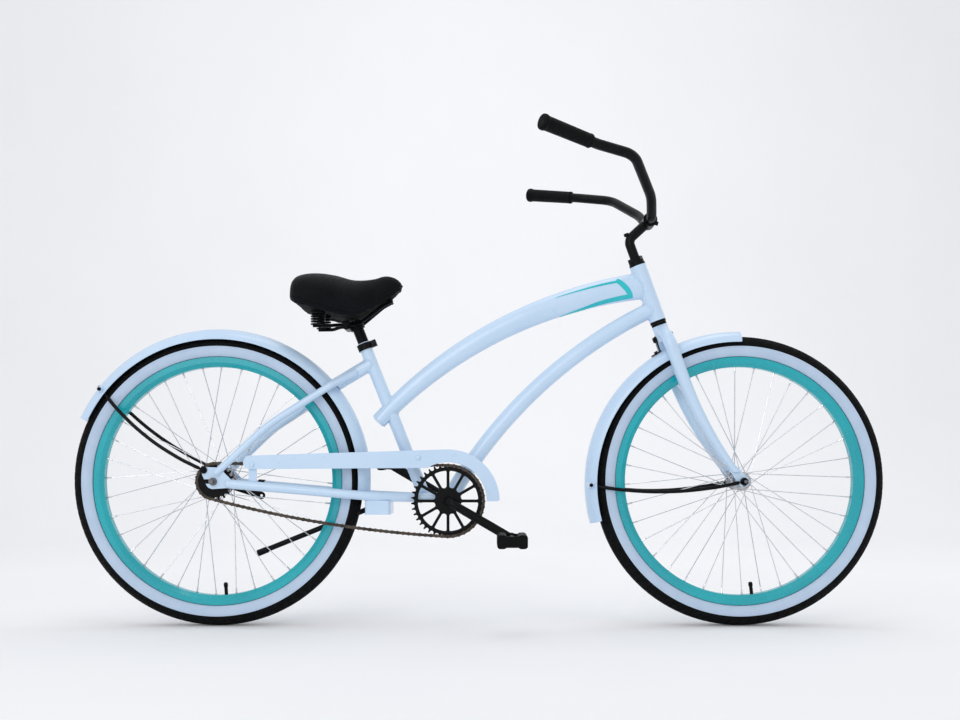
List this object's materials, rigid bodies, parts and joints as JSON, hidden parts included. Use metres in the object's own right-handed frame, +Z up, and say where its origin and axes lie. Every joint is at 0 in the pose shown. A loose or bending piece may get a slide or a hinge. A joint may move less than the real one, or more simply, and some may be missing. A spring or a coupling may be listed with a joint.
{
  "type": "beach cruiser bicycle",
  "caption": "Beach cruiser bicycle with a curved tube frame, wide swept-back bars, coiled-spring saddle, full fenders, chain guard and coaster brake hub.",
  "frame": {"origin": "on the ground, midway between the two axles, in the middle plane of the frame", "axes": "+X forward, +Y to the rider's left, away from the chain, +Z up"},
  "size_m": [1.8628, 0.6646, 1.0829],
  "materials": {
    "frame_paint": "gloss",
    "black_paint": "gloss",
    "dark_steel": "satin",
    "axle_steel": "satin",
    "bright_steel": "gloss",
    "hub_steel": "satin",
    "rim_paint": "gloss",
    "tyre": "matte",
    "tube_rubber": "matte",
    "chain_steel": "satin",
    "grip_rubber": "matte",
    "pedal_rubber": "matte",
    "saddle_vinyl": "satin",
    "pan_plastic": "matte"
  },
  "bodies": {
    "frame": {"head_tube": "frame_paint", "top_tube": "frame_paint", "down_tube": "frame_paint", "bottom_bracket_shell": "frame_paint", "chain_stays": "frame_paint", "seat_tube": "frame_paint", "seat_stay_yoke": "frame_paint", "seat_stays": "frame_paint", "dropouts": "frame_paint", "kickstand_bracket": "frame_paint", "headset_cups": "black_paint", "bracket_cups": "dark_steel", "chain_guard": "frame_paint", "chain_guard_brackets": "frame_paint", "rear_fender": "frame_paint", "rear_fender_stays": "black_paint", "frame_bolts": "dark_steel", "seat_collar": "black_paint", "chain": "chain_steel", "rear_axle": "axle_steel", "rear_axle_nuts": "dark_steel", "brake_arm": "black_paint", "brake_strap": "black_paint"},
    "steering": {"fork": "frame_paint", "headset_bearings": "dark_steel", "headset_nuts": "black_paint", "stem": "black_paint", "stem_bolts": "dark_steel", "handlebar": "black_paint", "grips": "grip_rubber", "front_fender": "frame_paint", "front_fender_hanger": "frame_paint", "front_fender_stays": "black_paint", "front_fender_bolts": "dark_steel", "front_axle": "axle_steel", "front_axle_nuts": "dark_steel"},
    "front_wheel": {"front_tyre": "tyre", "front_inner_tube": "tube_rubber", "front_rim": "rim_paint", "front_spokes": "bright_steel", "front_hub": "bright_steel"},
    "rear_wheel": {"rear_tyre": "tyre", "rear_inner_tube": "tube_rubber", "rear_rim": "rim_paint", "rear_spokes": "bright_steel", "rear_hub": "hub_steel"},
    "driver": {"rear_sprocket": "hub_steel"},
    "cranks": {"crank": "black_paint", "chainring": "black_paint", "crank_bearings": "dark_steel", "pedal_axles": "axle_steel"},
    "right_pedal": {"right_pedal": "pedal_rubber"},
    "left_pedal": {"left_pedal": "pedal_rubber"},
    "kickstand": {"kickstand": "black_paint"},
    "seat": {"seat_post": "black_paint", "saddle_clamp": "black_paint", "saddle_rails": "black_paint", "saddle_springs": "black_paint", "saddle_base": "pan_plastic", "saddle_cushion": "saddle_vinyl"}
  },
  "joints": [
    {"name": "steer", "type": "hinge", "parent": "frame", "child": "steering", "pos_m": [0.55371, 0, 0.31601], "axis": [-0.342, 0, 0.9397], "range_deg": [-90, 90]},
    {"name": "front_wheel_spin", "type": "hinge", "parent": "steering", "child": "front_wheel", "pos_m": [0.599, 0, 0.3325], "axis": [0, 1, 0], "continuous": true},
    {"name": "rear_wheel_spin", "type": "hinge", "parent": "frame", "child": "rear_wheel", "pos_m": [-0.599, 0, 0.3325], "axis": [0, 1, 0], "continuous": true},
    {"name": "driver_spin", "type": "hinge", "parent": "frame", "child": "driver", "pos_m": [-0.599, 0, 0.3325], "axis": [0, 1, 0], "continuous": true},
    {"name": "crank_spin", "type": "hinge", "parent": "frame", "child": "cranks", "pos_m": [-0.06945, 0, 0.288], "axis": [0, 1, 0], "continuous": true, "deforming": ["chain"]},
    {"name": "right_pedal_spin", "type": "hinge", "parent": "cranks", "child": "right_pedal", "pos_m": [0.07344, 0, 0.2055], "axis": [0, 1, 0], "continuous": true},
    {"name": "left_pedal_spin", "type": "hinge", "parent": "cranks", "child": "left_pedal", "pos_m": [-0.21235, 0, 0.3705], "axis": [0, 1, 0], "continuous": true},
    {"name": "kickstand_fold", "type": "hinge", "parent": "frame", "child": "kickstand", "pos_m": [-0.244, 0.0542, 0.27], "axis": [-0.3216, 0.9218, 0.2163], "range_deg": [-62, 0]},
    {"name": "seat_height", "type": "slide", "parent": "frame", "child": "seat", "axis": [-0.3697, 0, 0.9291], "range_m": [0, 0.12]}
  ],
  "couplings": [
    {"joint": "driver_spin", "follows": "crank_spin", "ratio": 2}
  ]
}
